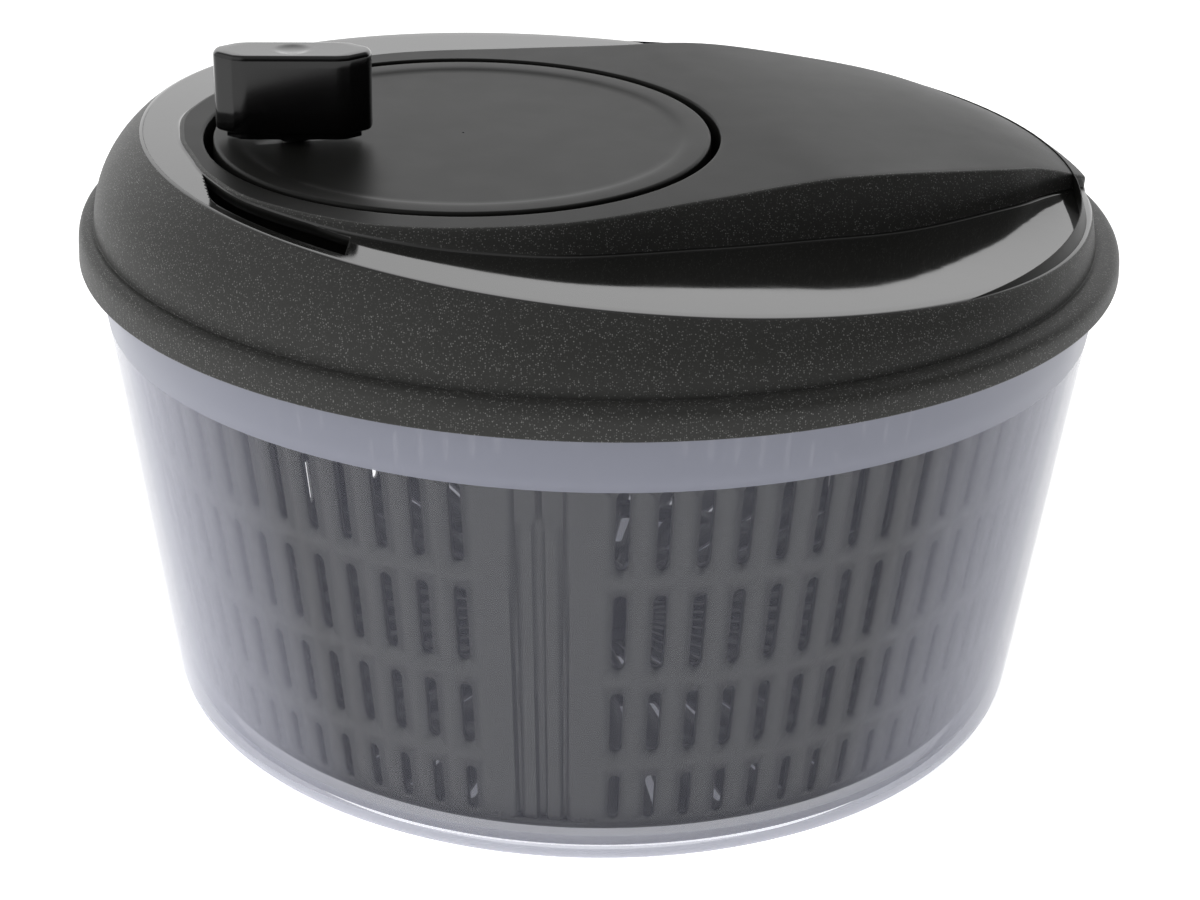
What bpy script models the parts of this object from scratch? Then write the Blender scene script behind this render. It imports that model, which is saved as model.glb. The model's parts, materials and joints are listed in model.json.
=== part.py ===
"""Salad spinner: see-through bowl, basket and a lid whose crank disc drives the basket by gears.

The origin is the centre of the bowl's foot on the table. +Z is up, and +X is the lid's axis of
symmetry, from the crank disc towards the lid's nose. Lengths are in metres.
"""
import math

import bmesh
import bpy
from mathutils import Matrix

MM = 0.001
GAP = 0.3 * MM            # between faces that touch on the real object
ABOVE_ALL = 160.0 * MM    # cutters that pass right through the lid's top end here
BELOW_LID = 110.0 * MM    # and those that pass through its underside end here

# Bowl
BOWL_FOOT_RADIUS = 109.7 * MM   # outer cone, produced down to the table
BOWL_TAPER = 0.136              # outward lean of the wall, per unit of height
BOWL_HEIGHT = 123.0 * MM
BOWL_WALL = 2.2 * MM
BOWL_FLOOR = 3.0 * MM
FOOT_ROUND = 9.0 * MM
PIN_RADIUS = 4.0 * MM
PIN_TOP = 18.0 * MM

# Basket
BASKET_BOTTOM = 7.5 * MM
BASKET_TOP = 104.3 * MM
BASKET_TOP_RADIUS = 120.0 * MM
BASKET_TAPER = 0.155
BASKET_WALL = 2.0 * MM
KEYWAY_COUNT = 4
KEYWAY_ANGLE = math.radians(64.0)
KEYWAY_RIB_OFFSET = 4.8 * MM    # from the keyway's middle to the middle of each rib
KEYWAY_RIB_HALF = 1.0 * MM      # half of a rib's thickness
KEYWAY_RIB_INNER = 109.0 * MM
KEYWAY_RIB_OUTER = 117.0 * MM
KEYWAY_RIB_FOOT = 74.0 * MM

# Lid
LID_RADIUS = 130.0 * MM
SKIRT_BOTTOM = 119.0 * MM
STEP_RADIUS = 124.3 * MM        # where the side wall rises from the skirt
STEP_HEIGHT = 125.9 * MM
SIDE_LEAN = 0.445               # inward lean of the side wall, per unit of height
LID_WALL = 2.2 * MM
CHANNEL_HEIGHT = 140.2 * MM     # channel floor on the lid's axis
CHANNEL_TILT = 0.0855           # the channel falls this much per unit of x
PLATEAU_TOP = 149.5 * MM
PLATEAU_ROUND = 71.0 * MM       # round end of the plateau, about the disc's axis
NOSE_TIP = (119.0 * MM, 34.5 * MM)
GUIDE_OUTER = 121.4 * MM        # ring under the lid that centres it inside the bowl's rim
GUIDE_INNER = 119.4 * MM
GUIDE_BOTTOM = 118.8 * MM
SLOT_INNER = 103.0 * MM
SLOT_OUTER = 110.9 * MM
SLOT_START = math.radians(-171.0)
SLOT_END = math.radians(-140.0)

# Crank disc and gears
DISC_X = -36.0 * MM
DISC_RADIUS = 60.8 * MM
WELL_RADIUS = 63.0 * MM
WELL_FLOOR = 130.6 * MM
WELL_FLOOR_UNDERSIDE = 128.0 * MM
GEAR_MODULE = 2.0 * MM
RING_TEETH = 54
PINION_TEETH = 18
PRESSURE_ANGLE = math.radians(20.0)
TEETH_BOTTOM = 132.0 * MM
PINION_TOP = 139.2 * MM
WEB_BOTTOM = 139.6 * MM
WEB_TOP = 141.8 * MM
RING_SCREW_CIRCLE = 11.5 * MM
AXLE_RADIUS = 4.0 * MM
SCREW_RADIUS = 1.3 * MM
PILOT_RADIUS = SCREW_RADIUS + GAP

# Knob
KNOB_X = -76.5 * MM
KNOB_Y = 7.0 * MM
KNOB_TURN = math.radians(-17.0)
KNOB_BOTTOM = 153.3 * MM
KNOB_TOP = 171.4 * MM
KNOB_HALF_LENGTH = 19.0 * MM
KNOB_HALF_WIDTH = 7.0 * MM
KNOB_PIN_RADIUS = 2.2 * MM
KNOB_BORE = KNOB_PIN_RADIUS + GAP

# Drive spider and inner lid
SPIDER_REACH = 113.0 * MM
LINER_BOTTOM = 121.6 * MM
LINER_RADIUS = 97.0 * MM
LINER_SCREW = 42.0 * MM         # x and y of each liner screw

ROUND_STEPS = 60
SMALL_STEPS = 10

DARK_GREY = (0.030, 0.030, 0.028)
BLACK = (0.006, 0.006, 0.006)
BASKET_GREY = (0.055, 0.055, 0.055)
MILKY = (0.80, 0.81, 0.86)
NATURAL = (0.62, 0.62, 0.60)
STEEL = (0.56, 0.56, 0.57)


# ---------------------------------------------------------------- scene and materials
def clear_scene():
    for obj in list(bpy.data.objects):
        bpy.data.objects.remove(obj, do_unlink=True)


def new_collection(name):
    collection = bpy.data.collections.new(name)
    bpy.context.scene.collection.children.link(collection)
    return collection


def plastic(name, colour, roughness, metallic=0.0, alpha=1.0):
    material = bpy.data.materials.new(name)
    material.use_nodes = True
    shader = material.node_tree.nodes["Principled BSDF"]
    shader.inputs["Base Color"].default_value = (*colour, 1.0)
    shader.inputs["Roughness"].default_value = roughness
    shader.inputs["Metallic"].default_value = metallic
    shader.inputs["Alpha"].default_value = alpha
    return material


def steel(name):
    return plastic(name, STEEL, 0.35, metallic=1.0)


# ---------------------------------------------------------------- shape helpers
def place(name, mesh, at=(0.0, 0.0, 0.0), turn=0.0):
    """A new object in the cutters' collection; finish() moves finished pieces out of it."""
    obj = bpy.data.objects.new(name, mesh)
    CUTTERS.objects.link(obj)
    obj.location = at
    obj.rotation_euler = (0.0, 0.0, turn)
    obj.hide_render = True
    obj.display_type = "WIRE"
    return obj


def finish(obj, material, parent):
    """Show a finished piece, give it its material and hang it on its group's empty."""
    CUTTERS.objects.unlink(obj)
    PIECES.objects.link(obj)
    obj.hide_render = False
    obj.display_type = "TEXTURED"
    obj.data.materials.clear()
    obj.data.materials.append(material)
    obj.data.shade_smooth()
    obj.data.set_sharp_from_angle(angle=math.radians(35))
    obj.parent = parent
    obj.matrix_parent_inverse = Matrix.Translation(parent.location).inverted()
    return obj


def turned(name, profile, at=(0.0, 0.0, 0.0), steps=ROUND_STEPS, closed=False):
    """Turn a profile of (radius, height) about Z. Its outer side runs from top to bottom."""
    mesh = bpy.data.meshes.new(name)
    shape = bmesh.new()
    points = [shape.verts.new((radius, 0.0, height)) for radius, height in profile]
    for start, end in zip(points, points[1:]):
        shape.edges.new((start, end))
    if closed:
        shape.edges.new((points[-1], points[0]))
    shape.to_mesh(mesh)
    shape.free()
    obj = place(name, mesh, at)
    screw = obj.modifiers.new("Turn", "SCREW")
    screw.steps = steps
    screw.render_steps = steps
    screw.use_merge_vertices = True
    screw.merge_threshold = 0.00001
    return obj


def rod(name, radius, low, high, at=(0.0, 0.0), steps=SMALL_STEPS):
    """A plain round bar between two heights."""
    mesh = bpy.data.meshes.new(name)
    shape = bmesh.new()
    middle = Matrix.Translation((0.0, 0.0, (low + high) / 2))
    bmesh.ops.create_cone(shape, cap_ends=True, segments=steps, radius1=radius, radius2=radius,
                          depth=high - low, matrix=middle)
    shape.to_mesh(mesh)
    shape.free()
    return place(name, mesh, (at[0], at[1], 0.0))


def block(name, x_range, y_range, z_range, turn=0.0):
    """A box given by its limits along X, Y and Z, turned about Z."""
    mesh = bpy.data.meshes.new(name)
    shape = bmesh.new()
    limits = (x_range, y_range, z_range)
    sizes = [high - low for low, high in limits]
    middles = [(low + high) / 2 for low, high in limits]
    matrix = Matrix.Translation(middles) @ Matrix.Diagonal((*sizes, 1.0))
    bmesh.ops.create_cube(shape, size=1.0, matrix=matrix)
    shape.to_mesh(mesh)
    shape.free()
    return place(name, mesh, turn=turn)


def plate(name, loops, low, high, at=(0.0, 0.0), turn=0.0):
    """A flat outline, with any holes as further loops, standing between two heights."""
    curve = bpy.data.curves.new(name, "CURVE")
    curve.dimensions = "2D"
    curve.fill_mode = "BOTH"
    curve.extrude = (high - low) / 2
    for loop in loops:
        spline = curve.splines.new("POLY")
        spline.points.add(len(loop) - 1)
        for point, (x, y) in zip(spline.points, loop):
            point.co = (x, y, 0.0, 1.0)
        spline.use_cyclic_u = True
    outline = bpy.data.objects.new(name + "_outline", curve)
    CUTTERS.objects.link(outline)
    graph = bpy.context.evaluated_depsgraph_get()
    mesh = bpy.data.meshes.new_from_object(outline.evaluated_get(graph))
    mesh.name = name
    bpy.data.objects.remove(outline, do_unlink=True)
    mesh.transform(Matrix.Translation((0.0, 0.0, (low + high) / 2)))
    shape = bmesh.new()
    shape.from_mesh(mesh)
    bmesh.ops.remove_doubles(shape, verts=shape.verts, dist=0.000005)
    bmesh.ops.recalc_face_normals(shape, faces=shape.faces)
    shape.to_mesh(mesh)
    shape.free()
    return place(name, mesh, (at[0], at[1], 0.0), turn)


def combine(target, other, operation):
    modifier = target.modifiers.new(operation.title() + " " + other.name, "BOOLEAN")
    modifier.operation = operation
    modifier.solver = "EXACT"
    modifier.object = other
    return target


def join(target, *others):
    for other in others:
        combine(target, other, "UNION")
    return target


def cut(target, *others):
    for other in others:
        combine(target, other, "DIFFERENCE")
    return target


def arc(centre, radius, start, end, count):
    """Points on a circle from one angle to another, both ends included."""
    angles = [start + (end - start) * step / (count - 1) for step in range(count)]
    return [(centre[0] + radius * math.cos(a), centre[1] + radius * math.sin(a)) for a in angles]


def circle(radius, count):
    return arc((0.0, 0.0), radius, 0.0, 2 * math.pi * (count - 1) / count, count)


def smooth_through(points, steps):
    """A Catmull-Rom curve through the given points, with this many steps in each span."""
    padded = [points[0], *points, points[-1]]
    curve = []
    for a, b, c, d in zip(padded, padded[1:], padded[2:], padded[3:]):
        for step in range(steps):
            t = step / steps
            curve.append(tuple(
                0.5 * (2 * q + (r - p) * t + (2 * p - 5 * q + 4 * r - s) * t * t
                       + (3 * q - p - 3 * r + s) * t ** 3)
                for p, q, r, s in zip(a, b, c, d)))
    curve.append(points[-1])
    return curve


def gear_outline(teeth, low_radius, high_radius, play, flank_points):
    """Involute teeth between two radii, one tooth on +X. Play is added to each flank."""
    pitch_radius = GEAR_MODULE * teeth / 2
    base_radius = pitch_radius * math.cos(PRESSURE_ANGLE)

    def involute(angle):
        return math.tan(angle) - angle

    def half_tooth(radius):
        pressure = math.acos(min(1.0, base_radius / max(radius, base_radius)))
        spread = involute(PRESSURE_ANGLE) - involute(pressure)
        return math.pi / (2 * teeth) + spread + play / radius

    radii = [low_radius + (high_radius - low_radius) * step / (flank_points - 1)
             for step in range(flank_points)]
    outline = []
    for tooth in range(teeth):
        middle = 2 * math.pi * tooth / teeth
        rising = [(radius, middle - half_tooth(radius)) for radius in radii]
        falling = [(radius, middle + half_tooth(radius)) for radius in reversed(radii)]
        outline += [(r * math.cos(a), r * math.sin(a)) for r, a in rising + falling]
    return outline


def screw(name, at, head_radius, head_height, head_top, tip, material, parent):
    """A pan-head screw that points up, with its head and drive socket underneath."""
    head_bottom = head_top - head_height
    rounding = head_height * 0.35
    socket_floor = head_bottom + head_height * 0.6
    profile = [(0.0, tip),
               (SCREW_RADIUS * 0.5, tip),
               (SCREW_RADIUS, tip - SCREW_RADIUS),
               (SCREW_RADIUS, head_top),
               (head_radius, head_top),
               (head_radius, head_bottom + rounding),
               (head_radius - rounding, head_bottom),
               (head_radius * 0.45, head_bottom),
               (head_radius * 0.3, socket_floor),
               (0.0, socket_floor)]
    return finish(turned(name, profile, at, steps=SMALL_STEPS), material, parent)


# ---------------------------------------------------------------- bowl
def bowl_outer(height):
    return BOWL_FOOT_RADIUS + BOWL_TAPER * height


def bowl_round(radius, height, size, count):
    """The round between a level floor and the leaning wall, from wall to floor."""
    lean = math.atan(BOWL_TAPER)
    middle_height = height + size
    middle_radius = radius + BOWL_TAPER * middle_height - size / math.cos(lean)
    return arc((middle_radius, middle_height), size, -lean, -math.pi / 2, count)


def build_bowl(parent):
    inside = BOWL_FOOT_RADIUS - BOWL_WALL
    profile = [(0.0, PIN_TOP),
               (PIN_RADIUS - 1.2 * MM, PIN_TOP),
               (PIN_RADIUS, PIN_TOP - 1.2 * MM),
               (PIN_RADIUS, BOWL_FLOOR)]
    profile += reversed(bowl_round(inside, BOWL_FLOOR, FOOT_ROUND - BOWL_WALL, 4))
    rim_radius = bowl_outer(BOWL_HEIGHT)
    profile += [(rim_radius - BOWL_WALL, BOWL_HEIGHT - 0.6 * MM),
                (rim_radius - BOWL_WALL + 0.6 * MM, BOWL_HEIGHT),
                (rim_radius - 0.6 * MM, BOWL_HEIGHT),
                (rim_radius, BOWL_HEIGHT - 0.6 * MM)]
    profile += bowl_round(BOWL_FOOT_RADIUS, 0.0, FOOT_ROUND, 6)
    foot_inner = 88.0 * MM
    recess = 0.8 * MM
    profile += [(foot_inner, 0.0), (foot_inner - recess, recess), (0.0, recess)]
    bowl = turned("bowl", profile)
    finish(bowl, plastic("bowl_milky", MILKY, 0.25, alpha=0.35), parent)


def build_pivot_cap(parent):
    """The loose bearing cap that turns on the pin of the bowl's floor."""
    bore = PIN_RADIUS + GAP
    profile = [(0.0, 22.0 * MM),
               (5.6 * MM, 22.0 * MM),
               (6.6 * MM, 21.0 * MM),
               (7.6 * MM, 5.2 * MM),
               (11.0 * MM, 5.2 * MM),
               (11.0 * MM, BOWL_FLOOR + GAP),
               (bore, BOWL_FLOOR + GAP),
               (bore, PIN_TOP + GAP),
               (0.0, PIN_TOP + GAP)]
    cap = turned("pivot_cap", profile, steps=20)
    finish(cap, plastic("pivot_cap_plastic", NATURAL, 0.4), parent)


# ---------------------------------------------------------------- basket
def basket_outer(height):
    return BASKET_TOP_RADIUS - BASKET_TAPER * (BASKET_TOP - height)


def build_basket(parent):
    corner = 3.0 * MM
    floor_top = BASKET_BOTTOM + BASKET_WALL
    boss_top = 24.6 * MM
    low_radius = basket_outer(BASKET_BOTTOM + corner)
    outer_corner = arc((low_radius - corner, BASKET_BOTTOM + corner), corner, 0.0, -math.pi / 2, 4)
    inner_corner = arc((low_radius - corner, BASKET_BOTTOM + corner), corner - BASKET_WALL,
                       -math.pi / 2, 0.0, 4)
    profile = [(0.0, boss_top), (8.0 * MM, boss_top), (9.2 * MM, boss_top - 1.2 * MM),
               (10.4 * MM, floor_top)]
    profile += inner_corner
    profile += [(BASKET_TOP_RADIUS - BASKET_WALL, BASKET_TOP - 0.5 * MM),
                (BASKET_TOP_RADIUS - BASKET_WALL + 0.5 * MM, BASKET_TOP),
                (BASKET_TOP_RADIUS - 0.5 * MM, BASKET_TOP),
                (BASKET_TOP_RADIUS, BASKET_TOP - 0.5 * MM)]
    profile += outer_corner
    profile += [(8.0 * MM, BASKET_BOTTOM), (7.0 * MM, 22.3 * MM), (0.0, 22.3 * MM)]
    basket = turned("basket", profile)
    inside_wall = 0.8 * MM          # how far inside the outer face the ribs end
    outside = turned("basket_outside", [(150.0 * MM, ABOVE_ALL), (150.0 * MM, 0.0),
                                        (basket_outer(0.0) - inside_wall, 0.0),
                                        (basket_outer(ABOVE_ALL) - inside_wall, ABOVE_ALL)],
                     closed=True)
    for index in range(KEYWAY_COUNT):
        turn = KEYWAY_ANGLE + index * 2 * math.pi / KEYWAY_COUNT
        for side in (-KEYWAY_RIB_OFFSET, KEYWAY_RIB_OFFSET):
            rib = block(f"keyway_rib_{index}_{'left' if side < 0 else 'right'}",
                        (KEYWAY_RIB_INNER, KEYWAY_RIB_OUTER),
                        (side - KEYWAY_RIB_HALF, side + KEYWAY_RIB_HALF),
                        (KEYWAY_RIB_FOOT, BASKET_TOP - BASKET_WALL), turn=turn)
            join(basket, cut(rib, outside))
    finish(basket, plastic("basket_anthracite", BASKET_GREY, 0.4), parent)


# ---------------------------------------------------------------- lid shell
def side_radius(height):
    return STEP_RADIUS - SIDE_LEAN * (height - STEP_HEIGHT)


def plateau_outline(inset):
    """Leaf shape: a round end about the disc's axis, and two flanks that run to the nose tips."""
    radius = PLATEAU_ROUND - inset
    first = math.radians(82.0)
    flank_end = (DISC_X + radius * math.cos(first), radius * math.sin(first))
    tip = (NOSE_TIP[0] + 12.0 * MM, NOSE_TIP[1] - 4.5 * MM - inset)
    flank = smooth_through([flank_end,
                            (14.0 * MM, 63.4 * MM - inset),
                            (54.0 * MM, 58.6 * MM - inset),
                            (88.0 * MM, 49.0 * MM - inset),
                            tip], 4)
    round_end = arc((DISC_X, 0.0), radius, first, 2 * math.pi - first, 36)
    lower = [(x, -y) for x, y in flank]
    return list(reversed(flank))[:-1] + round_end + lower[1:]


def plateau_side(inset):
    """The plateau seen from the side: level over the disc, then falling to the nose."""
    fall = smooth_through([(30.0 * MM, PLATEAU_TOP), (62.0 * MM, 148.2 * MM),
                           (92.0 * MM, 143.2 * MM), (110.0 * MM, 138.0 * MM),
                           (121.0 * MM, 130.5 * MM)], 4)
    fall = [(x - inset * 0.6, z - inset) for x, z in fall]
    end = fall[-1][0]
    low = BELOW_LID + 4.0 * MM
    return [(-LID_RADIUS, low), (end, low), *reversed(fall), (-LID_RADIUS, PLATEAU_TOP - inset)]


def lid_solid(name, inset, skirt):
    """The lid's outer form, or with an inset the hollow under it."""
    solid = turned(name, [(0.0, ABOVE_ALL), (side_radius(ABOVE_ALL) - inset, ABOVE_ALL), *skirt,
                          (0.0, skirt[-1][1])])
    reach = LID_RADIUS * 1.25
    above = block(name + "_above_channel", (-reach, reach), (-reach, reach), (0.0, 60.0 * MM))
    above.location = (0.0, 0.0, CHANNEL_HEIGHT - inset)
    above.rotation_euler = (0.0, math.atan(CHANNEL_TILT), 0.0)
    plateau = plate(name + "_plateau", [plateau_outline(inset)], BELOW_LID, ABOVE_ALL)
    side = plate(name + "_plateau_side", [plateau_side(inset)], -0.1, 0.1)
    side.rotation_euler = (math.pi / 2, 0.0, 0.0)
    combine(plateau, side, "INTERSECT")
    cut(above, plateau)
    return cut(solid, above)


def slot_cutter():
    """The drain slot: a band of the channel between two radii, ends square to its middle."""
    count = 10
    outer = arc((0.0, 0.0), SLOT_OUTER, SLOT_START, SLOT_END, count)
    inner = arc((0.0, 0.0), SLOT_INNER, SLOT_END, SLOT_START, count)
    band = plate("slot_band", [outer + inner], WELL_FLOOR, ABOVE_ALL)
    keep = rod("slot_keep_clear", PLATEAU_ROUND + 0.4 * MM, BELOW_LID, 2 * ABOVE_ALL,
               (DISC_X, 0.0), 48)
    return cut(band, keep)


def build_lid_shell(parent):
    skirt = [(STEP_RADIUS, STEP_HEIGHT), (126.6 * MM, 125.5 * MM), (128.6 * MM, 124.4 * MM),
             (129.7 * MM, 122.6 * MM), (LID_RADIUS, 120.4 * MM), (LID_RADIUS, SKIRT_BOTTOM)]
    rim_seat = BOWL_HEIGHT + 0.4 * MM
    skirt_inner = LID_RADIUS - 1.9 * MM
    hollow_skirt = [(side_radius(rim_seat) - LID_WALL, rim_seat), (skirt_inner, rim_seat),
                    (skirt_inner, BELOW_LID)]
    lid = lid_solid("lid_shell", 0.0, skirt)
    hollow = lid_solid("lid_hollow", LID_WALL, hollow_skirt)
    cup = rod("well_cup", WELL_RADIUS + LID_WALL, WELL_FLOOR_UNDERSIDE, ABOVE_ALL,
              (DISC_X, 0.0), 64)
    guide = turned("guide_ring", [(GUIDE_OUTER, 136.0 * MM), (GUIDE_OUTER, GUIDE_BOTTOM),
                                  (GUIDE_INNER, GUIDE_BOTTOM), (GUIDE_INNER, 136.0 * MM)],
                   closed=True)
    cut(hollow, cup, guide)
    for index, (x, y) in enumerate(liner_screw_places()):
        cut(hollow, rod(f"liner_boss_{index}", 3.6 * MM, 123.5 * MM, ABOVE_ALL, (x, y)))
    cut(lid, hollow)
    cut(lid, rod("well", WELL_RADIUS, WELL_FLOOR, ABOVE_ALL, (DISC_X, 0.0), 64))
    cut(lid, rod("bush_hole", 7.3 * MM, BELOW_LID, ABOVE_ALL, steps=24))
    cut(lid, rod("axle_hole", AXLE_RADIUS + GAP, BELOW_LID, ABOVE_ALL, (DISC_X, 0.0), 20))
    for index, (x, y) in enumerate(liner_screw_places()):
        cut(lid, rod(f"liner_pilot_{index}", PILOT_RADIUS, BELOW_LID, 129.0 * MM, (x, y)))
    cut(lid, slot_cutter())
    finish(lid, plastic("lid_black", DARK_GREY, 0.45), parent)


def liner_screw_places():
    return [(sx * LINER_SCREW, sy * LINER_SCREW) for sx in (1, -1) for sy in (1, -1)]


def build_liner(parent):
    top = LINER_BOTTOM + 1.6 * MM
    profile = [(LINER_RADIUS - 1.6 * MM, 127.2 * MM), (LINER_RADIUS, 127.2 * MM),
               (LINER_RADIUS, LINER_BOTTOM), (12.5 * MM, LINER_BOTTOM), (12.5 * MM, top),
               (LINER_RADIUS - 1.6 * MM, top)]
    liner = turned("lid_liner", profile, closed=True, steps=40)
    for index, (x, y) in enumerate(liner_screw_places()):
        cut(liner, rod(f"liner_hole_{index}", 1.7 * MM, BELOW_LID, 126.0 * MM, (x, y)))
    finish(liner, plastic("liner_grey", DARK_GREY, 0.5), parent)
    for index, (x, y) in enumerate(liner_screw_places(), start=1):
        screw(f"liner_screw_{index}", (x, y, 0.0), 2.8 * MM, 2.0 * MM, LINER_BOTTOM - GAP,
              128.4 * MM, steel(f"liner_screw_{index}_steel"), parent)


def build_shaft_bush(parent):
    profile = [(9.0 * MM, 131.7 * MM), (9.0 * MM, WELL_FLOOR + GAP), (7.0 * MM, WELL_FLOOR + GAP),
               (7.0 * MM, 125.4 * MM), (4.8 * MM, 125.4 * MM), (4.8 * MM, 131.7 * MM)]
    bush = turned("shaft_bush", profile, closed=True, steps=24)
    finish(bush, plastic("bush_plastic", NATURAL, 0.35), parent)


# ---------------------------------------------------------------- crank disc
def ring_screw_places():
    """Screw places about the disc's axis."""
    return [(RING_SCREW_CIRCLE * math.cos(a), RING_SCREW_CIRCLE * math.sin(a))
            for a in (math.pi / 3, math.pi, 5 * math.pi / 3)]


def build_crank_disc(parent):
    hub = 16.0 * MM
    plate_low = 146.4 * MM
    dish = 149.0 * MM
    profile = [(0.0, dish), (53.5 * MM, dish), (55.5 * MM, PLATEAU_TOP), (59.2 * MM, PLATEAU_TOP),
               (60.4 * MM, 148.9 * MM), (DISC_RADIUS, 147.8 * MM), (DISC_RADIUS, 143.4 * MM),
               (58.8 * MM, 143.4 * MM), (58.8 * MM, plate_low), (hub, plate_low),
               (hub, WEB_TOP + GAP), (4.3 * MM, WEB_TOP + GAP), (4.3 * MM, 146.0 * MM),
               (0.0, 146.0 * MM)]
    disc = turned("crank_disc", profile, (DISC_X, 0.0, 0.0), steps=48)
    for index, (x, y) in enumerate(ring_screw_places()):
        cut(disc, rod(f"disc_pilot_{index}", PILOT_RADIUS, WEB_BOTTOM, 145.6 * MM, (DISC_X + x, y)))
    cut(disc, rod("knob_pin_hole", KNOB_BORE, WEB_BOTTOM, ABOVE_ALL, (KNOB_X, KNOB_Y), 16))
    finish(disc, plastic("disc_black", DARK_GREY, 0.4), parent)


def build_ring_gear(parent):
    outer = 59.0 * MM
    teeth_loop = gear_outline(RING_TEETH, 52.4 * MM, 56.4 * MM, 0.14 * MM, 2)
    ring = plate("ring_gear", [circle(outer - 0.3 * MM, 54), teeth_loop], TEETH_BOTTOM,
                 WEB_BOTTOM + 0.5 * MM, (DISC_X, 0.0))
    web = turned("gear_web", [(outer, WEB_TOP), (outer, WEB_BOTTOM), (5.0 * MM, WEB_BOTTOM),
                              (5.0 * MM, WEB_TOP)], (DISC_X, 0.0, 0.0), steps=36, closed=True)
    join(ring, web)
    for index, (x, y) in enumerate(ring_screw_places()):
        cut(ring, rod(f"web_hole_{index}", 1.7 * MM, 138.0 * MM, 144.0 * MM, (DISC_X + x, y)))
    finish(ring, plastic("ring_gear_plastic", NATURAL, 0.4), parent)
    for index, (x, y) in enumerate(ring_screw_places(), start=1):
        screw(f"ring_screw_{index}", (DISC_X + x, y, 0.0), 2.6 * MM, 1.7 * MM, WEB_BOTTOM - GAP,
              145.2 * MM, steel(f"ring_screw_{index}_steel"), parent)


def build_disc_axle(parent):
    groove_low = 125.9 * MM
    groove_high = 127.5 * MM
    profile = [(0.0, 145.7 * MM), (3.4 * MM, 145.7 * MM), (4.0 * MM, 145.1 * MM),
               (4.0 * MM, groove_high), (3.0 * MM, groove_high), (3.0 * MM, groove_low),
               (4.0 * MM, groove_low), (4.0 * MM, 125.1 * MM), (3.6 * MM, 124.7 * MM),
               (0.0, 124.7 * MM)]
    axle = turned("disc_axle", profile, (DISC_X, 0.0, 0.0), steps=16)
    finish(axle, steel("disc_axle_steel"), parent)
    clip = turned("axle_clip", [(7.5 * MM, 127.2 * MM), (7.5 * MM, 126.2 * MM),
                                (3.3 * MM, 126.2 * MM), (3.3 * MM, 127.2 * MM)],
                  (DISC_X, 0.0, 0.0), steps=20, closed=True)
    finish(clip, steel("axle_clip_steel"), parent)


# ---------------------------------------------------------------- knob
def knob_outline():
    """Plan with straight long sides, a facet at each corner and blunt ends."""
    end, shoulder = 2.5 * MM, 6.3 * MM
    quarter = [(KNOB_HALF_LENGTH, end / 2), (KNOB_HALF_LENGTH - 0.5 * MM, end),
               (KNOB_HALF_LENGTH - 5.0 * MM, shoulder), (KNOB_HALF_LENGTH - 7.2 * MM, KNOB_HALF_WIDTH)]
    upper = quarter + [(-x, y) for x, y in reversed(quarter)]
    return upper + [(x, -y) for x, y in reversed(upper)]


def build_knob(parent):
    knob = plate("knob", [knob_outline()], KNOB_BOTTOM, KNOB_TOP, (KNOB_X, KNOB_Y), KNOB_TURN)
    above_knob = KNOB_TOP + 4.0 * MM
    cut(knob, rod("knob_bore", KNOB_BORE, WEB_TOP, above_knob, (KNOB_X, KNOB_Y), 16))
    cut(knob, rod("knob_counterbore", 3.8 * MM, 168.4 * MM, above_knob, (KNOB_X, KNOB_Y), 16))
    finish(knob, plastic("knob_gloss", BLACK, 0.12), parent)


def build_knob_pin(parent):
    """The pin is fixed to the disc and the knob turns on it."""
    profile = [(0.0, 169.9 * MM), (3.0 * MM, 169.9 * MM), (3.5 * MM, 169.4 * MM),
               (3.5 * MM, 168.7 * MM), (KNOB_PIN_RADIUS, 168.7 * MM),
               (KNOB_PIN_RADIUS, 145.3 * MM), (1.6 * MM, 145.3 * MM), (1.6 * MM, 144.1 * MM),
               (KNOB_PIN_RADIUS, 144.1 * MM), (KNOB_PIN_RADIUS, 142.9 * MM), (0.0, 142.9 * MM)]
    pin = turned("knob_pin", profile, (KNOB_X, KNOB_Y, 0.0), steps=16)
    finish(pin, plastic("knob_pin_black", BLACK, 0.2), parent)
    collar = turned("knob_collar", [(3.8 * MM, KNOB_BOTTOM - GAP), (3.8 * MM, 149.3 * MM),
                                    (KNOB_BORE, 149.3 * MM), (KNOB_BORE, KNOB_BOTTOM - GAP)],
                    (KNOB_X, KNOB_Y, 0.0), steps=20, closed=True)
    finish(collar, plastic("knob_collar_black", BLACK, 0.2), parent)
    clip = turned("knob_clip", [(4.6 * MM, 145.0 * MM), (4.6 * MM, 144.4 * MM),
                                (1.9 * MM, 144.4 * MM), (1.9 * MM, 145.0 * MM)],
                  (KNOB_X, KNOB_Y, 0.0), steps=16, closed=True)
    finish(clip, steel("knob_clip_steel"), parent)


# ---------------------------------------------------------------- drive
def build_pinion(parent):
    loop = gear_outline(PINION_TEETH, 15.6 * MM, 19.6 * MM, -0.14 * MM, 4)
    pinion = plate("pinion", [loop], TEETH_BOTTOM, PINION_TOP)
    shaft = turned("pinion_shaft", [(0.0, 133.0 * MM), (4.5 * MM, 133.0 * MM),
                                    (4.5 * MM, 110.6 * MM), (1.6 * MM, 110.6 * MM),
                                    (1.6 * MM, 120.4 * MM), (0.0, 120.4 * MM)], steps=20)
    join(pinion, shaft)
    finish(pinion, plastic("pinion_plastic", NATURAL, 0.4), parent)


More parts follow.
